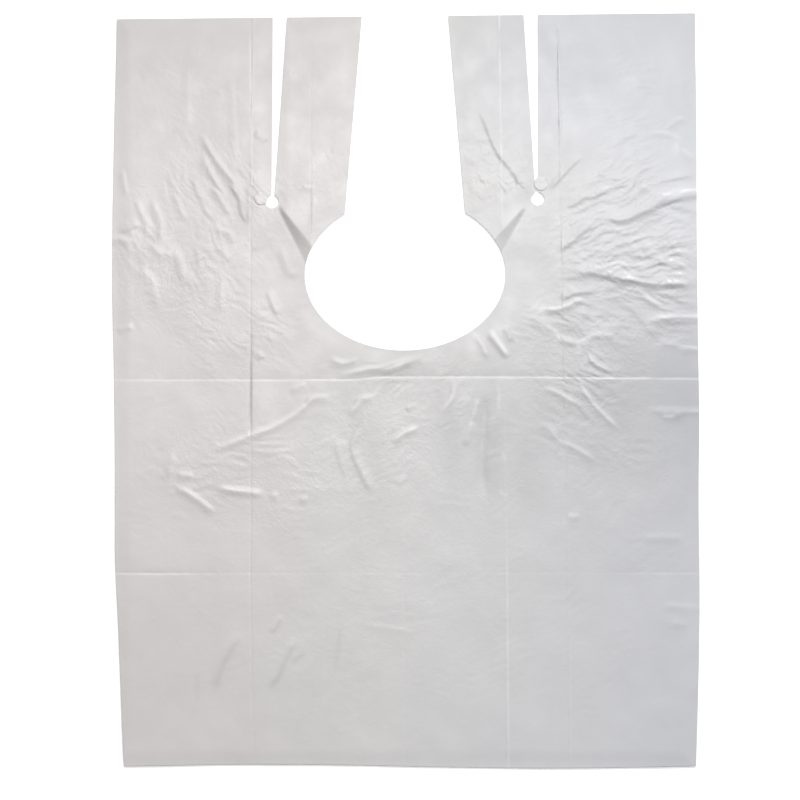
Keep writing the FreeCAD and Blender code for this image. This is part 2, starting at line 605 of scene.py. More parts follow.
RIGHT_SHOULDER_WRINKLES = (
    shaded(((223, 310), (237, 327), (262, 353), (277, 364)), 1.5, 6.0, 3.0),
    shaded(((248, 284), (265, 291), (277, 300), (290, 301), (308, 308), (325, 304)), 1.9),
    bright(((298, 332), (312, 346), (327, 356)), 0.7),
    bright(((318, 383), (339, 394), (360, 400)), 0.9),
    bright(((401, 404), (422, 420), (437, 420)), 0.9),
    bright(((370, 394), (394, 400), (422, 391), (431, 370), (470, 352)), 0.9),
    shaded(((384, 322), (435, 333), (452, 329)), 1.0),
    bright(((360, 310), (372, 315), (389, 306)), 0.9),
    bright(((380, 308), (400, 303), (422, 302), (439, 309), (478, 312)), 0.7, 3.4, 8.0),
    shaded(((292, 262), (318, 267), (337, 265), (372, 280), (395, 292), (426, 301), (490, 309)),
           3.4, 13.0, 6.0, True),
    shaded(((405, 286), (427, 284), (478, 270)), 1.0),
    shaded(((236, 214), (246, 223), (268, 240), (284, 253), (301, 256)), 2.2),
    bright(((274, 219), (305, 219), (319, 210)), 0.9),
    shaded(((256, 194), (277, 205), (292, 210)), 0.9),
    shaded(((240, 175), (260, 183), (290, 184), (312, 181), (333, 174), (362, 170), (388, 166), (478, 170)),
           3.2, 12.0, 6.5),
    shaded(((240, 138), (256, 149), (277, 153), (301, 154)), 1.9),
    bright(((209, 130), (229, 127), (248, 132), (267, 141), (284, 143)), 1.9),
    bright(((192, 118), (212, 105), (234, 95)), 1.4),
    bright(((238, 86), (251, 79), (268, 77)), 2.0, 3.2, 7.0),
    bright(((284, 84), (303, 89), (327, 84)), 1.4),
    bright(((246, 114), (268, 101)), 1.0),
    bright(((281, 57), (301, 42), (321, 33)), 1.5),
    bright(((366, 108), (395, 113), (430, 116), (490, 114)), 2.4, 4.5, 9.0, True),
    shaded(((368, 214), (398, 201), (418, 194), (440, 197)), 1.7, 7.0, 4.0),
    shaded(((344, 138), (364, 115), (380, 95), (398, 86)), 1.3, 9.0, 6.0),
    bright(((355, 160), (377, 143), (398, 132)), 1.4),
    bright(((392, 153), (438, 155)), 1.0),
    bright(((392, 77), (427, 73)), 1.0),
    bright(((420, 65), (478, 64)), 1.0),
)

RIGHT_LAP_WRINKLES = (
    bright(((267, 22), (276, 5), (293, -20), (312, -39), (336, -62)), 1.3, 2.6, 5.0),
    bright(((209, 6), (228, 2), (250, -9), (271, -23), (293, -48)), 1.2, 3.0, 6.0),
    bright(((245, -78), (271, -91), (297, -110)), 0.9),
    bright(((206, -52), (223, -56), (240, -74)), 0.9),
    bright(((381, -33), (391, -29), (478, -31)), 1.3),
    bright(((395, -37), (412, -39), (432, -36)), 0.8),
    bright(((363, -229), (400, -227), (436, -229)), 0.6, 5.0, 7.0),
    bright(((395, -332), (420, -334), (478, -339)), 0.6, 5.0, 7.0),
    bright(((411, -358), (440, -364)), 0.5, 5.0, 7.0),
    bright(((250, -194), (272, -195)), 0.6),
)

STRAP_WRINKLES = (
    shaded(((104, 442), (121, 425), (133, 395), (145, 368), (163, 346), (188, 312), (200, 296)),
           1.9, 8.0, 4.0),
    bright(((108, 392), (124, 390), (140, 391)), 0.8),
    bright(((116, 376), (133, 370)), 0.8),
    bright(((88, 370), (113, 352)), 0.8),
    bright(((152, 398), (157, 364), (163, 352)), 1.2),
    bright(((-160, 318), (-150, 315), (-140, 316)), 1.0),
    bright(((-232, 404), (-220, 395), (-211, 388)), 1.6, 3.0, 8.0),
)

NECK_TUCKS = (
    Pleat((-196, 286), (-144, 225), (-155, 204), 2.3),
    Pleat((186, 284), (141, 238), (150, 219), 1.6),
)

CRUMPLED_PATCHES = (
    Patch((-320, 250), (160, 200), -55, 0.72, 13, 52, 3),
    Patch((-350, 180), (120, 120), 15, 0.5, 13, 42, 4),
    Patch((-260, 90), (130, 110), -35, 0.5, 12, 40, 5),
    Patch((350, 250), (140, 160), 20, 1.7, 16, 60, 7),
    Patch((360, 150), (150, 130), -16, 1.7, 15, 56, 8),
    Patch((270, 60), (140, 120), -28, 1.1, 12, 42, 11),
    Patch((400, 200), (90, 110), -50, 1.0, 12, 40, 12),
    Patch((230, 250), (80, 90), 50, 0.5, 11, 34, 13),
    Patch((-20, -50), (230, 140), 30, 0.55, 14, 44, 17),
    Patch((-260, -130), (190, 110), -14, 0.6, 14, 50, 19),
    Patch((300, -60), (170, 130), -32, 0.5, 14, 52, 23),
    Patch((156, 332), (60, 110), -58, 0.85, 10, 34, 29),
    Patch((112, 376), (54, 80), 10, 0.5, 9, 30, 30),
    Patch((0, -330), (450, 260), 60, 0.16, 26, 90, 31),
    Patch((0, 0), (900, 900), 20, 0.17, 19, 44, 37),
    Patch((0, 0), (900, 900), 100, 0.07, 12, 30, 38),
    Patch((-120, 330), (70, 130), -70, 0.4, 12, 36, 41),
    Patch((330, 440), (140, 130), 20, 0.4, 15, 46, 43),
    Patch((-330, 430), (150, 130), -30, 0.25, 15, 46, 47),
)

SWELLS = (
    Spot((340, -40), (130, 110), 0, -1.4),
    Spot((330, -220), (160, 90), 0, 1.4),
    Spot((-330, 160), (120, 100), -20, 1.2),
    Spot((330, 330), (150, 120), 0, 1.2),
    Spot((0, -420), (420, 140), 0, 0.7),
)

# Painted light and shade: broad areas of the film's grey painted lighter where light falls stronger and
# darker where it falls weaker, as at the top edge and in the dark band on the right.
PAINTED_LIGHT_AREAS = (
    Spot((440, -20), (250, 170), 0, -0.5),
    Spot((150, -50), (150, 100), 0, -0.18),
    Spot((460, -560), (240, 240), 0, -0.14),
    Spot((0, 680), (2000, 260), 0, -0.41),
    Spot((-450, -100), (120, 520), 0, 0.07),
    Spot((0, -600), (2000, 110), 0, 0.07),
    Spot((-40, 40), (90, 46), 0, -0.2),
    Spot((245, 150), (70, 60), 0, -0.08),
    Spot((172, 190), (36, 40), 0, -0.1),
    Spot((300, -230), (280, 130), 0, -0.13),
    Spot((-160, 170), (40, 90), 0, -0.12),
    Spot((-56, -95), (22, 75), 12, -0.13),
    Spot((71, -77), (17, 55), 0, -0.13),
    Spot((133, -84), (18, 100), 0, -0.17),
    Spot((186, -140), (20, 48), 0, -0.13),
    Spot((-260, 60), (220, 420), 0, -0.07),
    Spot((128, 84), (46, 30), -50, 0.06),
    Spot((70, 70), (90, 60), 0, -0.14),
)

# Painted highlights along wrinkle crests, partly the film's own whitening; negative amounts paint soft
# streaks of shade.
PAINTED_STREAKS = (
    pinched(((209, 130), (228, 127), (248, 132), (267, 141), (284, 143)), 0.46, 2.4),
    pinched(((192, 112), (209, 102), (232, 94), (243, 79), (267, 76), (287, 85), (318, 87), (329, 81)),
            0.5, 2.4),
    pinched(((372, 109), (395, 113), (430, 116), (480, 115)), 0.56, 2.6),
    pinched(((380, 71), (411, 73), (470, 64)), 0.36),
    pinched(((364, 157), (383, 141), (403, 133), (426, 139)), 0.26, 2.4),
    pinched(((267, 24), (276, 5), (293, -20), (312, -39), (336, -62)), 0.56, 2.2),
    pinched(((282, 58), (299, 40), (324, 31)), 0.44),
    pinched(((209, 7), (228, 2), (250, -9), (270, -22)), 0.4, 2.4),
    pinched(((214, -54), (225, -59), (240, -76), (256, -82), (277, -94), (299, -107)), 0.32),
    pinched(((383, -31), (410, -32), (470, -31)), 0.36),
    pinched(((398, -39), (419, -39)), 0.4),
    pinched(((418, 306), (440, 311), (475, 313)), 0.4),
    pinched(((310, 256), (322, 246), (332, 252), (344, 244)), 0.26),
    pinched(((344, 232), (362, 238), (380, 226), (398, 222)), 0.2),
    pinched(((250, 168), (262, 158), (272, 150)), 0.16),
    pinched(((-98, 27), (-60, 36), (-39, 38), (-8, 48), (24, 55)), 0.22, 3.0),
    pinched(((-40, 32), (-16, 38), (10, 50)), 0.22, 2.4),
    pinched(((-90, -40), (-72, -18), (-52, -8), (-38, 8), (-28, 16)), 0.28, 2.6),
    pinched(((-28, -6), (-12, 6), (-2, 16)), 0.24),
    pinched(((-18, -12), (-4, 2), (8, 8), (16, 6)), 0.28),
    pinched(((-26, -82), (0, -64), (24, -54)), 0.34, 2.4),
    pinched(((55, -36), (67, -17), (75, -4), (78, 14)), 0.26, 2.6),
    pinched(((98, -60), (108, -30), (114, -8)), 0.26, 2.6),
    pinched(((-15, -144), (2, -134)), 0.24),
    pinched(((-62, -40), (-76, -58), (-82, -80)), -0.14, 3.0),
    pinched(((150, -92), (157, -110)), 0.2),
    pinched(((146, -150), (152, -160), (162, -162)), 0.24),
    pinched(((143, 14), (146, -6), (144, -34)), 0.22, 2.6),
    pinched(((100, 96), (118, 74), (130, 50)), 0.3, 3.0),
    pinched(((130, 98), (146, 76), (162, 50)), 0.42, 3.4),
    pinched(((-292, -147), (-262, -153), (-215, -162)), 0.34, 2.6),
    pinched(((-357, -146), (-335, -158), (-314, -172), (-290, -191)), 0.2, 2.6),
    pinched(((-305, -91), (-270, -79), (-240, -67), (-201, -52), (-163, -28), (-130, 3)), 0.22, 3.0),
    pinched(((-292, -466), (-284, -430), (-270, -400), (-250, -370)), -0.16, 5.0),
    pinched(((-322, -434), (-322, -486)), -0.11, 4.0),
    pinched(((-207, -378), (-187, -346)), -0.14, 3.0),
    pinched(((-211, -464), (-193, -436), (-182, -411), (-165, -378)), -0.18, 4.5),
    pinched(((-178, -424), (-152, -402)), -0.18, 4.0),
    pinched(((-98, -352), (-104, -401), (-110, -440)), -0.12, 4.5),
    pinched(((-240, 580), (-239, 450), (-238, 322)), 0.3, 1.8),
    pinched(((-239, 66), (-239, 10), (-240, -54)), -0.4, 1.8),
    pinched(((-246, 322), (-244, 290), (-243, 254)), -0.3, 2.6),
    pinched(((-254, 300), (-248, 282), (-243, 262)), -0.2, 2.4),
)

PACKING_CREASES = (
    PackingCrease(False, 18.0, ((-450, -0.4), (-200, -0.38), (-110, -0.75), (20, -0.6), (250, -0.7),
                                (450, -0.7)),
                  1.0, 101, slack=8.0, white=0.42,
                  steps=((-450, 2.5), (-240, 1.0), (-82, 0.4), (-40, 3.8), (150, 2.8), (450, -1.7))),
    PackingCrease(False, -282.0, ((-450, -0.55), (-380, -0.45), (-300, -0.12), (0, -0.05), (300, -0.06),
                                  (450, -0.25)), 1.2, 103, slack=4.0, white=0.06),
    PackingCrease(False, 319.0, ((-450, -0.08), (0, -0.06), (450, -0.1)), 2.2, 107),
    PackingCrease(True, -239.0, ((-581, -0.05), (-480, -0.2), (-80, -0.25), (-40, -1.2), (60, -1.2),
                                 (110, -0.3), (300, -0.3), (330, 0.25), (581, 0.35)), 1.3, 109, lean=0.004),
    PackingCrease(True, 246.0, ((-581, 0.25), (-200, 0.3), (60, 0.4), (300, 0.55), (330, 1.0), (581, 0.9)),
                  1.4, 113, lean=-0.016, slack=0.8, white=0.1),
    PackingCrease(True, 153.0, ((-581, 0.3), (-290, 0.3), (-250, 0.1), (-40, 0.06), (0, 0.0), (220, 0.0),
                                (250, 0.1), (330, 0.35), (581, 0.5)),
                  2.4, 127, lean=-0.012, slack=0.45, white=0.4),
    PackingCrease(True, -146.0, ((-581, 0.0), (226, 0.0), (240, -0.6), (306, -0.6), (330, -0.1),
                                 (581, -0.1)), 1.6, 131),
    PackingCrease(True, 0.0, ((-581, -0.05), (-200, -0.1), (20, -0.2), (60, 0.0)), 2.4, 137),
)


def only(*objects: bpy.types.Object) -> None:
    """Select these objects alone, with the first one active.

    Args:
        objects: What to select.
    """
    bpy.ops.object.select_all(action="DESELECT")
    for item in objects:
        item.select_set(True)
    bpy.context.view_layer.objects.active = objects[0]


def settle(item: bpy.types.Object) -> None:
    """Put the object's place, turn and size into its mesh."""
    only(item)
    bpy.ops.object.transform_apply(location=True, rotation=True, scale=True)


def apply_modifier(item: bpy.types.Object, kind: str, **settings: object) -> None:
    """Add one modifier and apply it.

    Args:
        item: Object to change.
        kind: Blender's name for the modifier.
        settings: Values for its settings.
    """
    only(item)
    modifier = item.modifiers.new(kind.title(), kind)
    for name, value in settings.items():
        setattr(modifier, name, value)
    bpy.ops.object.modifier_apply(modifier=modifier.name)


def places(item: bpy.types.Object) -> np.ndarray:
    """Read where the object's vertices are.

    Args:
        item: Object to read.

    Returns:
        A row of x, y and z for each vertex, in millimetres.
    """
    co = np.empty(3 * len(item.data.vertices))
    item.data.vertices.foreach_get("co", co)
    return co.reshape(-1, 3) / MM


def move(item: bpy.types.Object, co: np.ndarray) -> None:
    """Move the object's vertices to rows of x, y and z, in millimetres."""
    item.data.vertices.foreach_set("co", (co * MM).ravel())
    item.data.update()


class Die:
    """A closed cutter that reaches through the film."""

    REACH = 5.0 * MM

    @classmethod
    def oval(cls, x: float, y: float, half_width: float, half_depth: float, sides: int) -> bpy.types.Object:
        """Make an upright oval cutter.

        Args:
            x: Its middle across the cape.
            y: Its middle along the cape.
            half_width: Half its width.
            half_depth: Half its depth.
            sides: Number of facets round it.

        Returns:
            The cutter.
        """
        bpy.ops.object.select_all(action="DESELECT")
        bpy.ops.mesh.primitive_cylinder_add(vertices=sides, radius=1.0, depth=2 * cls.REACH,
                                            location=(x * MM, y * MM, 0.0))
        die = bpy.context.active_object
        die.scale = (half_width * MM, half_depth * MM, 1.0)
        settle(die)
        return die

    @classmethod
    def taper(cls, foot: Point, head: Point, foot_span: Point, head_span: Point) -> bpy.types.Object:
        """Make a straight-sided cutter that changes width along the cape.

        Args:
            foot: Lowest y, and how much further down it starts.
            head: Highest y, and how much further up it ends.
            foot_span: Least and greatest x at the foot's y.
            head_span: Least and greatest x at the head's y.

        Returns:
            The cutter.
        """
        bpy.ops.object.select_all(action="DESELECT")
        bpy.ops.mesh.primitive_cube_add(size=2.0)
        die = bpy.context.active_object
        low, high = foot[0] - foot[1], head[0] + head[1]
        for vertex in die.data.vertices:
            y = high if vertex.co.y > 0 else low
            share = (y - foot[0]) / (head[0] - foot[0])
            edge = 1 if vertex.co.x > 0 else 0
            x = foot_span[edge] + share * (head_span[edge] - foot_span[edge])
            vertex.co = (x * MM, y * MM, cls.REACH * (1 if vertex.co.z > 0 else -1))
        return die


@dataclass(frozen=True)
class Cut:
    """Sizes of the die-cut outline: its sides and creases from the frame, its openings by name."""

    side: float = Edge.RIGHT.of("right_chest_outer")
    hem_edge: float = Edge.FOOT.of("hem_centre")
    hem_crease: float = Edge.FOOT.of("lap_centre")
    lap_crease: float = Edge.HEAD.of("lap_centre")
    upper_crease: float = Edge.FOOT.of("right_shoulder_inner")
    top_edge: float = Edge.HEAD.of("right_shoulder_inner")
    slit_line: float = Edge.LEFT.of("right_shoulder_inner")
    slit_root: float = 4.0
    slit_end: float = 22.0
    slit_half_width: float = 3.0
    neck_centre: float = 181.0
    neck_half_width: float = 155.0
    neck_half_depth: float = 118.0
    gap_root_y: float = 275.4
    gap_root: float = 93.0
    gap_end: float = 67.0
    punch_across: float = 205.0
    punch_centre: float = 296.0
    punch_radius: float = 10.5

    OVERRUN = 20.0
    NECK_OVERRUN = 60.0
    NECK_FACETS, PUNCH_FACETS = 160, 40
    FAR_AWAY = 1000.0

    def inside(self, x: np.ndarray, y: np.ndarray) -> np.ndarray:
        """Measure how far points are from the nearest cut edge.

        Args:
            x, y: Places on the cape, in millimetres.

        Returns:
            Distance of each place, 0 in an opening.
        """
        across = np.abs(x)
        share = (y - self.gap_root_y) / (self.top_edge - self.gap_root_y)
        gap = across - (self.gap_root + share * (self.gap_end - self.gap_root))
        gap = np.where(y > self.gap_root_y, gap, self.FAR_AWAY)
        slit = np.hypot(across - self.punch_across, np.clip(self.punch_centre - y, 0.0, None))
        neck = np.hypot(x / self.neck_half_width, (y - self.neck_centre) / self.neck_half_depth)
        edges = (self.side - across, y - self.hem_edge, self.top_edge - y, gap,
                 slit - self.slit_half_width, (neck - 1.0) * self.neck_half_depth)
        return np.clip(np.minimum.reduce(edges), 0.0, None)

    def neck_die(self) -> bpy.types.Object:
        """Cutter for the neck opening."""
        return Die.oval(0.0, self.neck_centre, self.neck_half_width, self.neck_half_depth,
                        self.NECK_FACETS)

    def gap_die(self) -> bpy.types.Object:
        """Cutter for the gap between the ties."""
        return Die.taper((self.gap_root_y, self.NECK_OVERRUN), (self.top_edge, self.OVERRUN),
                         (-self.gap_root, self.gap_root), (-self.gap_end, self.gap_end))

    def slit_die(self, side: Side) -> bpy.types.Object:
        """Cutter for the slit beside one tie."""
        return Die.taper((self.punch_centre, 0.0), (self.top_edge, self.OVERRUN),
                         side.span(self.slit_line - self.slit_root, self.slit_line),
                         side.span(self.slit_line - self.slit_end, self.slit_line))

    def punch(self, side: Side) -> bpy.types.Object:
        """Cutter for the round hole that ends one slit."""
        return Die.oval(side.value * self.punch_across, self.punch_centre, self.punch_radius,
                        self.punch_radius, self.PUNCH_FACETS)


CUT = Cut()


class Relief:
    """How the film lies: its height above the floor, its place off square, its wear, and the light and shade
    painted into its grey.

    An edge is a list of places along the cape and how far the film is pulled sideways there.
    """

    LIFT = 1.9
    RIM = 26.0
    RIM_SHARE = 0.6
    CEILING = 9.0
    FLOOR_ROUNDING = 0.5
    FLOOR_DROP = 0.1
    MOVERS = (SWELLS + LEFT_SHOULDER_WRINKLES + MIDDLE_WRINKLES + LEFT_LAP_WRINKLES
              + RIGHT_SHOULDER_WRINKLES + RIGHT_LAP_WRINKLES + STRAP_WRINKLES + NECK_TUCKS
              + CRUMPLED_PATCHES)
    ROLLS = (Ripple(307, 130.0, 0.9), Ripple(311, 46.0, 0.35))

    LEFT_EDGE = ((-581, 15), (-417, 7), (-262, 2), (0, -1), (280, -2.6), (581, 4))
    RIGHT_EDGE = ((-581, 1), (-417, 5), (-262, 6.5), (0, 5), (300, 2.6), (581, -0.5))
    EDGE_PULL = 1.5
    WANDER = Ripple(211, 190.0, 2.4)
    TILT, TILT_FOOT, TILT_RUN = 0.0105, -420.0, 700.0
    HEM_WAVE, HEM_WAVE_PITCH, HEM_WAVE_TOP, HEM_WAVE_RUN = 3.0, 140.0, -430.0, 150.0

    CALM, CRUMPLE_SHARE, MOST_CRUMPLED = 0.12, 0.75, 1.2
    PLAIN_HAZE = 0.42
    # Painted shade along the neck tucks' risers.
    TUCK_SHADE = 0.19
    # Painted light cast: warm light painted on the left, cool on the right, stronger across the ties, in
    # blotches.
    MIDDLE_WARMTH, WARMTH_RISE = 0.62, 0.0002
    TIE_CONTRAST, CONTRAST_FOOT, CONTRAST_RUN = 1.6, 300.0, 200.0
    BLUSH = Ripple(331, 170.0, 0.12)

    def laid(self, x: np.ndarray, y: np.ndarray) -> tuple[np.ndarray, np.ndarray]:
        """Lay the square-cut sheet down, a little off square.

        Args:
            x, y: Places on the cut sheet, in millimetres.

        Returns:
            The same points on the floor.
        """
        share = np.clip(x / CUT.side, -1.0, 1.0)
        pull = np.zeros_like(x)
        for side, edge in ((Side.LEFT, self.LEFT_EDGE), (Side.RIGHT, self.RIGHT_EDGE)):
            along, shift = np.array(edge, float).T
            pull += np.interp(y, along, shift) * np.clip(side.value * share, 0, 1) ** self.EDGE_PULL
        wander = self.WANDER(x, y) * share ** 2
        tilt = self.TILT * x * smooth((y - self.TILT_FOOT) / self.TILT_RUN)
        wave = self.HEM_WAVE * np.sin(x / self.HEM_WAVE_PITCH)
        wave *= smooth((self.HEM_WAVE_TOP - y) / self.HEM_WAVE_RUN)
        return x + pull + wander, y + (tilt - wave)

    def cut(self, x: np.ndarray, y: np.ndarray) -> tuple[np.ndarray, np.ndarray]:
        """Where each point on the floor was on the square-cut sheet, to a tenth of a millimetre."""
        laid_x, laid_y = self.laid(x, y)
        return 2 * x - laid_x, 2 * y - laid_y

    def height(self, cut_x: np.ndarray, cut_y: np.ndarray) -> np.ndarray:
        """Work out how high the film's underside lies.

        Args:
            cut_x, cut_y: Places on the cut sheet, in millimetres.

        Returns:
            Height at each place, in millimetres.
        """
        total = np.zeros_like(cut_x)
        for crease in PACKING_CREASES:
            crease.add(cut_x, cut_y, total)
        x, y = self.laid(cut_x, cut_y)
        for mover in self.MOVERS:
            mover.add(x, y, total)
        total += sum(roll(x, y) for roll in self.ROLLS)
        rim = self.RIM_SHARE + (1.0 - self.RIM_SHARE) * smooth(CUT.inside(x, y) / self.RIM)
        total = (total + self.LIFT) * rim
        soft = 0.5 * (total + np.sqrt(total ** 2 + self.FLOOR_ROUNDING)) - self.FLOOR_DROP
        return np.minimum(soft, self.CEILING)

    def crumple(self, x: np.ndarray, y: np.ndarray) -> np.ndarray:
        """Work out how finely creased the film is.

        Args:
            x, y: Places on the cape, in millimetres.

        Returns:
            From CALM to MOST_CRUMPLED at each place.
        """
        total = np.full_like(x, self.CALM)
        for patch in CRUMPLED_PATCHES:
            total += self.CRUMPLE_SHARE * patch.height * patch.window(x, y)
        return np.minimum(total, self.MOST_CRUMPLED)

    def warmth(self, x: np.ndarray, y: np.ndarray) -> np.ndarray:
        """Work out the painted light cast: warm light painted on the left and upper left, cool light on the
        right.

        Args:
            x, y: Places on the cape, in millimetres.

        Returns:
            From 1 at the left and upper left to 0 at the right.
        """
        contrast = 1.0 + self.TIE_CONTRAST * smooth((y - self.CONTRAST_FOOT) / self.CONTRAST_RUN)
        across = x / (2.0 * CUT.side) * contrast
        return smooth(self.MIDDLE_WARMTH - across + self.WARMTH_RISE * y + self.BLUSH(x, y))

    def haze(self, cut_x: np.ndarray, cut_y: np.ndarray) -> np.ndarray:
        """Work out how milky the film is, with painted highlights and shade along creases, wrinkles and
        tucks, and broad painted light and shade.

        Args:
            cut_x, cut_y: Places on the cut sheet, in millimetres.

        Returns:
            Milkiness with painted light and shade at each place, about PLAIN_HAZE.
        """
        total = np.full_like(cut_x, self.PLAIN_HAZE)
        # Milky lines along the creases: partly whitened film, partly painted highlights.
        for crease in PACKING_CREASES:
            crease.whiten(cut_x, cut_y, total)
        x, y = self.laid(cut_x, cut_y)
        # Painted highlight and shade streaks, and broad areas of painted light and shade.
        for mark in PAINTED_STREAKS + PAINTED_LIGHT_AREAS:
            mark.add(x, y, total)
        # Painted shade on each tuck's riser.
        for tuck in NECK_TUCKS:
            total -= self.TUCK_SHADE * tuck.height * tuck.band(x, y)
        return total


RELIEF = Relief()


@dataclass(frozen=True)
class Hinge:
    """How a piece is tied to the frame: to one body, or, if it has a parent, with its place baked in and no
    body.
    """

    body: str
    parent: str | None = None
    start: float = 0.0
    end: float = 0.0

    def tie(self, piece: bpy.types.Object) -> None:
        """Tie a piece to its body, or bake its place in if it has a parent.

        Args:
            piece: The finished mesh.
        """
        if self.parent is None:
            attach(piece, self.body)
        else:
            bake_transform(piece)


class FilmPiece:
    """What all pieces of the film share: its thickness, its wear and painted light, and how it is dressed."""

    THICKNESS = 0.25
    SMOOTH_ANGLE = 0.9

    def stain(self, piece: bpy.types.Object, haze: np.ndarray, crumple: np.ndarray,
              warmth: np.ndarray) -> None:
        """Shade the piece smooth, and store what its finish and its painted light read at each vertex.

        Args:
            piece: The finished mesh.
            haze: How milky the film is, with painted light and shade.
            crumple: How finely creased it is.
            warmth: The painted warm and cool light cast on its grey.
        """
        for name, values in (("haze", haze), ("crumple", crumple), ("warmth", warmth)):
            piece.data.attributes.new(name, "FLOAT", "POINT").data.foreach_set("value", values)
        only(piece)
        bpy.ops.object.shade_smooth_by_angle(angle=self.SMOOTH_ANGLE)

    def finish(self, piece: bpy.types.Object, film: bpy.types.Material, hinge: Hinge, flat: Point,
               area: float) -> None:
        """Give the piece its finish and its ties to the frame.

        Args:
            piece: The finished mesh.
            film: Its material.
            hinge: How it follows the folds.
            flat: Width and length that it was cut to, in millimetres; not used.
            area: Its flat area, in square metres; not used.
        """
        piece.data.materials.clear()
        piece.data.materials.append(film)
        hinge.tie(piece)
        log.info("%s: %d faces", piece.name, len(piece.data.polygons))


@dataclass
class FilmPanel(FilmPiece):
    """One panel of the cape, from one cross crease to the next."""

    name: str
    nodes: tuple[str, ...]
    across: Point
    along: Point
    hinge: Hinge
    pitch: float = 2.5
    flat_area: float = 0.0

    STATIONS = 4001
    FACES_UP = 0.9
    GATHER, GATHER_WIDTH = 2.2, 5.0
    LEAN_MARGIN, LEAN_WIDTH = 20.0, 14.0

    @property
    def size(self) -> Point:
        """Width and length of the flat panel."""
        return self.across[1] - self.across[0], self.along[1] - self.along[0]

    def build(self, *dies: bpy.types.Object) -> bpy.types.Object:
        """Cut the flat panel, then give it the film's relief.

        Args:
            dies: Cutters that it is trimmed with; they are used up.

        Returns:
            The panel.
        """
        width, length = self.size
        bpy.ops.object.select_all(action="DESELECT")
        bpy.ops.mesh.primitive_grid_add(
            x_subdivisions=round(width / self.pitch), y_subdivisions=round(length / self.pitch), size=1.0,
            location=(sum(self.across) / 2 * MM, sum(self.along) / 2 * MM, 0.0))
        panel = bpy.context.active_object
        panel.name = panel.data.name = self.name
        panel.scale = (width * MM, length * MM, 1.0)
        settle(panel)
        self.gather(panel)
        apply_modifier(panel, "SOLIDIFY", thickness=self.THICKNESS * MM, offset=1.0)
        for die in dies:
            apply_modifier(panel, "BOOLEAN", object=die, operation="DIFFERENCE", solver="EXACT")
            bpy.data.objects.remove(die)
        self.flat_area = sum(face.area for face in panel.data.polygons if face.normal.z > self.FACES_UP)
        self.press(panel)
        return panel

    def gather(self, panel: bpy.types.Object) -> None:
        """Draw the flat grid's lines closer together along the packing creases.

        Args:
            panel: The flat grid.
        """
        co = places(panel)
        for axis, (low, high) in enumerate((self.across, self.along)):
            steps = np.linspace(low, high, self.STATIONS)
            density = np.ones_like(steps)
            for crease in PACKING_CREASES:
                if crease.lengthwise == (axis == 0) and low < crease.place < high:
                    density += self.GATHER * np.exp(-((steps - crease.place) / self.GATHER_WIDTH) ** 2)
            count = np.concatenate(([0.0], np.cumsum((density[1:] + density[:-1]) / 2)))
            share = (co[:, axis] - low) / (high - low)
            co[:, axis] = np.interp(share * count[-1], count, steps)
        low, high = self.across[0] + self.LEAN_MARGIN, self.across[1] - self.LEAN_MARGIN
        for crease in PACKING_CREASES:
            if crease.lean and low < crease.place < high:
                near = np.exp(-((co[:, 0] - crease.place) / self.LEAN_WIDTH) ** 2)
                co[:, 0] += crease.lean * co[:, 1] * near
        move(panel, co)

    def press(self, panel: bpy.types.Object) -> None:
        """Move the flat panel's vertices onto the laid, wrinkled film.

        Args:
            panel: The flat panel, already cut.
        """
        cut_x, cut_y, level = places(panel).T
        x, y = RELIEF.laid(cut_x, cut_y)
        move(panel, np.column_stack((x, y, level + RELIEF.height(cut_x, cut_y))))
        self.stain(panel, RELIEF.haze(cut_x, cut_y), RELIEF.crumple(x, y), RELIEF.warmth(x, y))

    def dress(self, panel: bpy.types.Object, film: bpy.types.Material) -> None:
        """Put the panel in its flat CAD panels' place, and finish it."""
        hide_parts(*self.nodes)
        self.finish(panel, film, self.hinge, self.size, self.flat_area)


@dataclass
class PunchedDisc(FilmPiece):
    """A disc of film left hanging at the rim of its hole, lying on the cape beside it."""

    name: str
    centre: Point
    radius: float
    hinge: Hinge

    FACETS = 36
    RINGS = (0.16, 0.2, 0.25, 0.35)
    CLEARANCE = 0.6
    LIFT = 0.5
    CURL = Ripple(401, 9.0, 0.8)
    # The disc's grey is painted lighter, a painted highlight where it curls up and catches the light.
    DOUBLED = 0.14
    CRUMPLED = 0.8

    def build(self) -> bpy.types.Object:
        """Make the disc and lay it on the film.

        Returns:
            The disc.
        """
        bpy.ops.object.select_all(action="DESELECT")
        bpy.ops.mesh.primitive_circle_add(vertices=self.FACETS, radius=self.radius * MM, fill_type="NGON",
                                          location=(self.centre[0] * MM, self.centre[1] * MM, 0.0))
        disc = bpy.context.active_object
        disc.name = disc.data.name = self.name
        settle(disc)
        bpy.ops.object.mode_set(mode="EDIT")
        bpy.ops.mesh.select_all(action="SELECT")
        for share in self.RINGS:
            bpy.ops.mesh.inset(thickness=share * self.radius * MM)
        bpy.ops.mesh.poke()
        bpy.ops.object.mode_set(mode="OBJECT")
        apply_modifier(disc, "SOLIDIFY", thickness=self.THICKNESS * MM, offset=1.0)
        x, y, level = places(disc).T
        cut_x, cut_y = RELIEF.cut(x, y)
        rise = self.CLEARANCE + np.clip(self.CURL(x, y) + self.LIFT, 0.0, None)
        move(disc, np.column_stack((x, y, level + RELIEF.height(cut_x, cut_y) + rise)))
        self.stain(disc, RELIEF.haze(cut_x, cut_y) + self.DOUBLED, np.full_like(x, self.CRUMPLED),
                   RELIEF.warmth(x, y))
        return disc

    def dress(self, disc: bpy.types.Object, film: bpy.types.Material) -> None:
        """Finish the disc."""
        self.finish(disc, film, self.hinge, (2 * self.radius, 2 * self.radius),
                    np.pi * (self.radius * MM) ** 2)


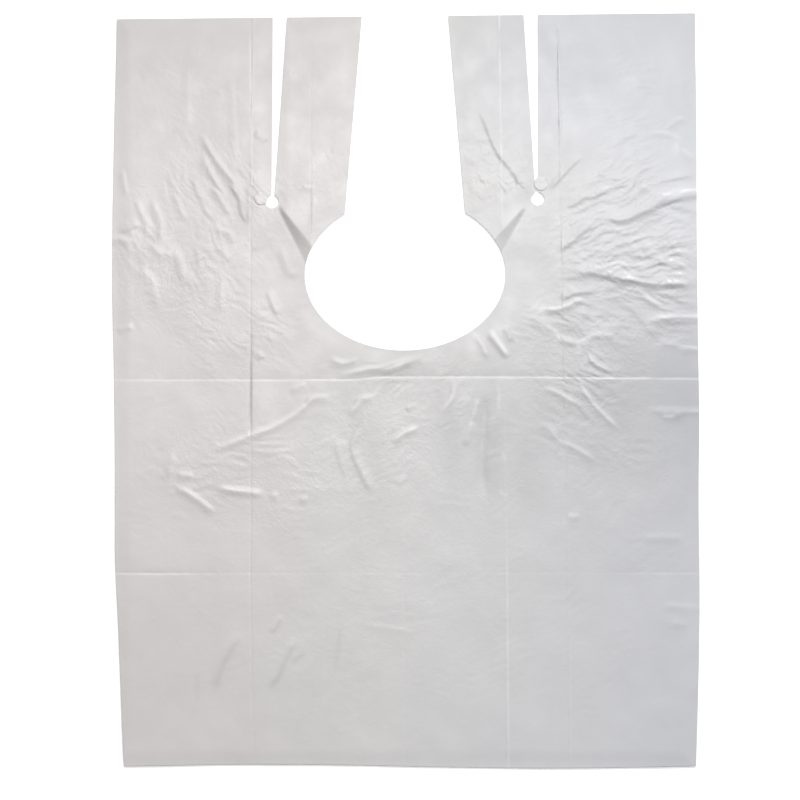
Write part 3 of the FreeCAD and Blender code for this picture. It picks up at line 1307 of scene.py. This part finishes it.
def add_node(tree: bpy.types.NodeTree, kind: str, inputs: dict, **settings: object) -> bpy.types.Node:
    """Add one node to a material.

    Args:
        tree: The material's nodes.
        kind: Blender's name for the node, without "ShaderNode".
        inputs: A value, or the output that feeds it, for each input.
        settings: Values for the node's own settings.

    Returns:
        The node.
    """
    node = tree.nodes.new("ShaderNode" + kind)
    for name, value in settings.items():
        setattr(node, name, value)
    for name, value in inputs.items():
        if isinstance(value, bpy.types.NodeSocket):
            tree.links.new(value, node.inputs[name])
        else:
            node.inputs[name].default_value = value
    return node


def add_math(tree: bpy.types.NodeTree, operation: str, *terms: object) -> bpy.types.NodeSocket:
    """Add one calculation on values or outputs, and give its result."""
    return add_node(tree, "Math", dict(enumerate(terms)), operation=operation).outputs["Value"]


def add_ramp(tree: bpy.types.NodeTree, share: bpy.types.NodeSocket, *colours: Colour) -> bpy.types.NodeSocket:
    """Add colours that follow one another evenly as a share goes from 0 to 1.

    Args:
        tree: The material's nodes.
        share: Output that chooses the colour.
        colours: Two or more colours.

    Returns:
        The output that holds the colour.
    """
    ramp = add_node(tree, "ValToRGB", {"Fac": share})
    stops = ramp.color_ramp.elements
    stops[0].color, stops[1].color = colours[0], colours[-1]
    for index, colour in enumerate(colours[1:-1], 1):
        stops.new(index / (len(colours) - 1)).color = colour
    return ramp.outputs["Color"]


@dataclass(frozen=True)
class CloudyFilm:
    """Thin polyethylene film: milky light grey, satin, with faint clouds and fine crinkles."""

    name: str = "cloudy_film"
    grey: float = 0.43
    # Spread of grey over the milkiness and the painted light and shade.
    milkiness: float = 0.11
    cloud_share: float = 0.3
    cloud_scale: float = 11.0
    # Colours of the painted light cast: warm light at the left, cool light at the right.
    warm: Colour = (1.0, 0.958, 0.95, 1.0)
    neutral: Colour = (0.985, 0.972, 0.97, 1.0)
    cool: Colour = (0.95, 0.955, 1.0, 1.0)
    ior: float = 1.5
    specular: float = 0.7
    roughness: float = 0.42
    roughness_spread: float = 0.07
    rub_scale: float = 26.0
    crinkle_scale: float = 110.0
    crinkle_share: float = 0.6
    dent_scale: float = 38.0
    crinkle_depth: float = 0.9 * MM
    crinkle_strength: float = 0.9

    def material(self) -> bpy.types.Material:
        """Build the node material.

        Returns:
            The material.
        """
        material = bpy.data.materials.new(self.name)
        material.use_nodes = True
        tree = material.node_tree
        shader = tree.nodes["Principled BSDF"]
        shader.inputs["IOR"].default_value = self.ior
        shader.inputs["Specular IOR Level"].default_value = self.specular
        place = tree.nodes.new("ShaderNodeTexCoord").outputs["Object"]
        tree.links.new(self.tint(tree, place), shader.inputs["Base Color"])
        tree.links.new(self.rub(tree, place), shader.inputs["Roughness"])
        tree.links.new(self.crinkle(tree, place), shader.inputs["Normal"])
        return material

    def wear(self, tree: bpy.types.NodeTree, name: str) -> bpy.types.NodeSocket:
        """What the film's mesh stores under a name: its crumpling, and its painted light and shade."""
        return add_node(tree, "Attribute", {}, attribute_name=name).outputs["Fac"]

    def noise(self, tree: bpy.types.NodeTree, place: bpy.types.NodeSocket, scale: float, detail: float,
              roughness: float = 0.5, distortion: float = 0.0) -> bpy.types.NodeSocket:
        """A noise pattern over the film."""
        return add_node(tree, "TexNoise", {"Vector": place, "Scale": scale, "Detail": detail,
                                           "Roughness": roughness, "Distortion": distortion}).outputs["Fac"]

    def tint(self, tree: bpy.types.NodeTree, place: bpy.types.NodeSocket) -> bpy.types.NodeSocket:
        """Colour the film: clouded, with painted highlights and shade along creases and wrinkles, broad
        painted light and shade, and a painted light cast from warm at one side to cool.

        Args:
            tree: The material's nodes.
            place: Output that gives each point's place.

        Returns:
            The output that holds the colour.
        """
        clouds = self.noise(tree, place, self.cloud_scale, 6.0, 0.62)
        # Milkiness with painted light and shade, plus clouds.
        milky = add_math(tree, "MULTIPLY_ADD", clouds, self.cloud_share, self.wear(tree, "haze"))
        low, high = self.grey - self.milkiness, self.grey + self.milkiness
        grey = add_ramp(tree, milky, (low, low, low, 1.0), (high, high, high, 1.0))
        cast = add_ramp(tree, self.wear(tree, "warmth"), self.cool, self.neutral, self.warm)
        toned = add_node(tree, "Mix", {0: 1.0, 6: grey, 7: cast}, data_type="RGBA", blend_type="MULTIPLY")
        return toned.outputs[2]

    def rub(self, tree: bpy.types.NodeTree, place: bpy.types.NodeSocket) -> bpy.types.NodeSocket:
        """Rub the gloss up and down in patches.

        Args:
            tree: The material's nodes.
            place: Output that gives each point's place.

        Returns:
            The output that holds the roughness.
        """
        least, most = self.roughness - self.roughness_spread, self.roughness + self.roughness_spread
        spread = add_node(tree, "MapRange", {
            "Value": self.noise(tree, place, self.rub_scale, 4.0), "From Min": 0.3, "From Max": 0.7,
            "To Min": least, "To Max": most})
        return spread.outputs["Result"]

    def crinkle(self, tree: bpy.types.NodeTree, place: bpy.types.NodeSocket) -> bpy.types.NodeSocket:
        """Crinkle the film finely, the more so where it is crumpled.

        Args:
            tree: The material's nodes.
            place: Output that gives each point's place.

        Returns:
            The output that holds the surface's direction.
        """
        fine = self.noise(tree, place, self.crinkle_scale, 5.0, 0.6, 1.2)
        dents = add_math(tree, "SUBTRACT", self.noise(tree, place, self.dent_scale, 3.0, 0.5, 1.5), 0.5)
        pinch = add_math(tree, "ABSOLUTE", dents)
        relief = add_math(tree, "MULTIPLY_ADD", fine, self.crinkle_share, pinch)
        fading = add_math(tree, "MULTIPLY", relief, self.wear(tree, "crumple"))
        bump = add_node(tree, "Bump", {"Strength": self.crinkle_strength, "Distance": self.crinkle_depth,
                                       "Height": fading})
        return bump.outputs["Normal"]


@dataclass(frozen=True)
class Softbox:
    """A soft white light that faces the middle of the cape, in metres and watts."""

    name: str
    place: tuple[float, float, float]
    size: Point
    power: float

    def hang(self) -> None:
        """Hang the light."""
        data = bpy.data.lights.new(self.name, "AREA")
        data.shape, data.size, data.size_y = "RECTANGLE", self.size[0], self.size[1]
        data.energy = self.power
        item = bpy.data.objects.new(self.name, data)
        bpy.context.scene.collection.objects.link(item)
        item.location = self.place
        item.rotation_euler = (-item.location).to_track_quat("-Z", "Y").to_euler()


@dataclass(frozen=True)
class Studio:
    """Pale floor, soft lights and the overhead camera, in metres."""

    frame_width: float = 1.24
    camera_height: float = 7.0
    centre: Point = (-0.00775, -0.01395)
    sensor_width: float = 36.0
    clip_end: float = 50.0
    floor_size: float = 14.0
    floor_level: float = -0.4 * MM
    floor_white: Colour = (0.93, 0.93, 0.93, 1.0)
    sky_strength: float = 0.44

    LIGHTS = (Softbox("key_softbox", (1.3, 5.6, 3.2), (2.6, 1.6), 500.0),
              Softbox("sheen_softbox", (0.0, 0.44, 2.4), (0.9, 0.7), 22.0),
              Softbox("side_softbox", (3.4, 0.9, 1.9), (1.6, 1.6), 52.0))

    def build(self) -> None:
        """Make the floor, the lights, the sky and the camera."""
        self.floor()
        for softbox in self.LIGHTS:
            softbox.hang()
        self.sky()
        self.camera()

    def sky(self) -> None:
        """Fill the room with even white light."""
        world = bpy.context.scene.world or bpy.data.worlds.new("studio_air")
        bpy.context.scene.world = world
        world.use_nodes = True
        sky = world.node_tree.nodes["Background"]
        sky.inputs["Color"].default_value = (1.0, 1.0, 1.0, 1.0)
        sky.inputs["Strength"].default_value = self.sky_strength
        bpy.context.scene.view_settings.view_transform = "Standard"

    def floor(self) -> None:
        """Lay a large white floor just under the film."""
        bpy.ops.object.select_all(action="DESELECT")
        bpy.ops.mesh.primitive_plane_add(size=self.floor_size, location=(0.0, 0.0, self.floor_level))
        floor = bpy.context.active_object
        floor.name = "studio_floor"
        settle(floor)
        paint = bpy.data.materials.new("floor_paint")
        paint.use_nodes = True
        shader = paint.node_tree.nodes["Principled BSDF"]
        shader.inputs["Base Color"].default_value = self.floor_white
        shader.inputs["Roughness"].default_value = 0.9
        shader.inputs["Specular IOR Level"].default_value = 0.1
        floor.data.materials.append(paint)

    def camera(self) -> None:
        """Set the camera straight above the cape, the ties at the top of its view."""
        data = bpy.data.cameras.new("overhead_camera")
        data.sensor_width = self.sensor_width
        data.lens = self.sensor_width * self.camera_height / self.frame_width
        data.clip_end = self.clip_end
        camera = bpy.data.objects.new("overhead_camera", data)
        bpy.context.scene.collection.objects.link(camera)
        camera.location = (self.centre[0], self.centre[1], self.camera_height)
        bpy.context.scene.camera = camera


SEAM = 8.0  # millimetres from a crease to the seam between its panels


def row_nodes(row: str, *parts: str) -> tuple[str, ...]:
    """Names of a row's CAD panels: its centre, then these parts on the left and on the right."""
    return (f"{row}_centre",) + tuple(f"{side.word}_{part}" for side in Side for part in parts)


def main() -> None:
    """Build every panel of the cape and its two punched discs, then the studio."""
    logging.basicConfig(level=logging.INFO, format="%(name)s: %(message)s")
    film = CloudyFilm().material()
    whole = (-CUT.side, CUT.side)
    upper, lap, hem = CUT.upper_crease - SEAM, CUT.lap_crease + SEAM, CUT.hem_crease + SEAM

    chest = FilmPanel("chest_film", row_nodes("chest", "strap_root", "chest_inner", "chest_outer"),
                      whole, (lap, upper), Hinge("chest"), pitch=2.1)
    chest.dress(chest.build(CUT.neck_die(), CUT.gap_die(), CUT.punch(Side.LEFT), CUT.punch(Side.RIGHT),
                            CUT.slit_die(Side.LEFT), CUT.slit_die(Side.RIGHT)), film)
    lap_panel = FilmPanel("lap_film", row_nodes("lap", "lap_inner", "lap_outer"), whole, (hem, lap),
                          Hinge("lap", "chest", lap, CUT.lap_crease - SEAM))
    lap_panel.dress(lap_panel.build(), film)
    hem_panel = FilmPanel("hem_film", row_nodes("hem", "hem_inner", "hem_outer"), whole, (CUT.hem_edge, hem),
                          Hinge("hem", "lap", hem, CUT.hem_crease - SEAM))
    hem_panel.dress(hem_panel.build(), film)

    top, end = (upper, CUT.top_edge), CUT.upper_crease + SEAM
    for side in Side:
        tie_body, shoulder_body = f"{side.word}_tie", f"{side.word}_shoulder"
        tie = FilmPanel(f"{tie_body}_film", (f"{tie_body}_inner", f"{tie_body}_outer"),
                        side.span(CUT.gap_end, CUT.slit_line - CUT.slit_root), top,
                        Hinge(tie_body, "chest", upper, end), pitch=1.6)
        tie.dress(tie.build(CUT.gap_die(), CUT.slit_die(side)), film)
        shoulder = FilmPanel(f"{shoulder_body}_film", (f"{shoulder_body}_inner", f"{shoulder_body}_outer"),
                             side.span(CUT.slit_line, CUT.side), top,
                             Hinge(shoulder_body, "chest", upper, end), pitch=1.6)
        shoulder.dress(shoulder.build(), film)

    for disc in (PunchedDisc("left_punched_disc", (-223.0, 299.0), 10.0, Hinge("chest")),
                 PunchedDisc("right_punched_disc", (211.0, 322.0), 10.5,
                             Hinge("right_shoulder", "chest", upper, end))):
        disc.dress(disc.build(), film)
    Studio().build()


if __name__ == "__main__":
    main()
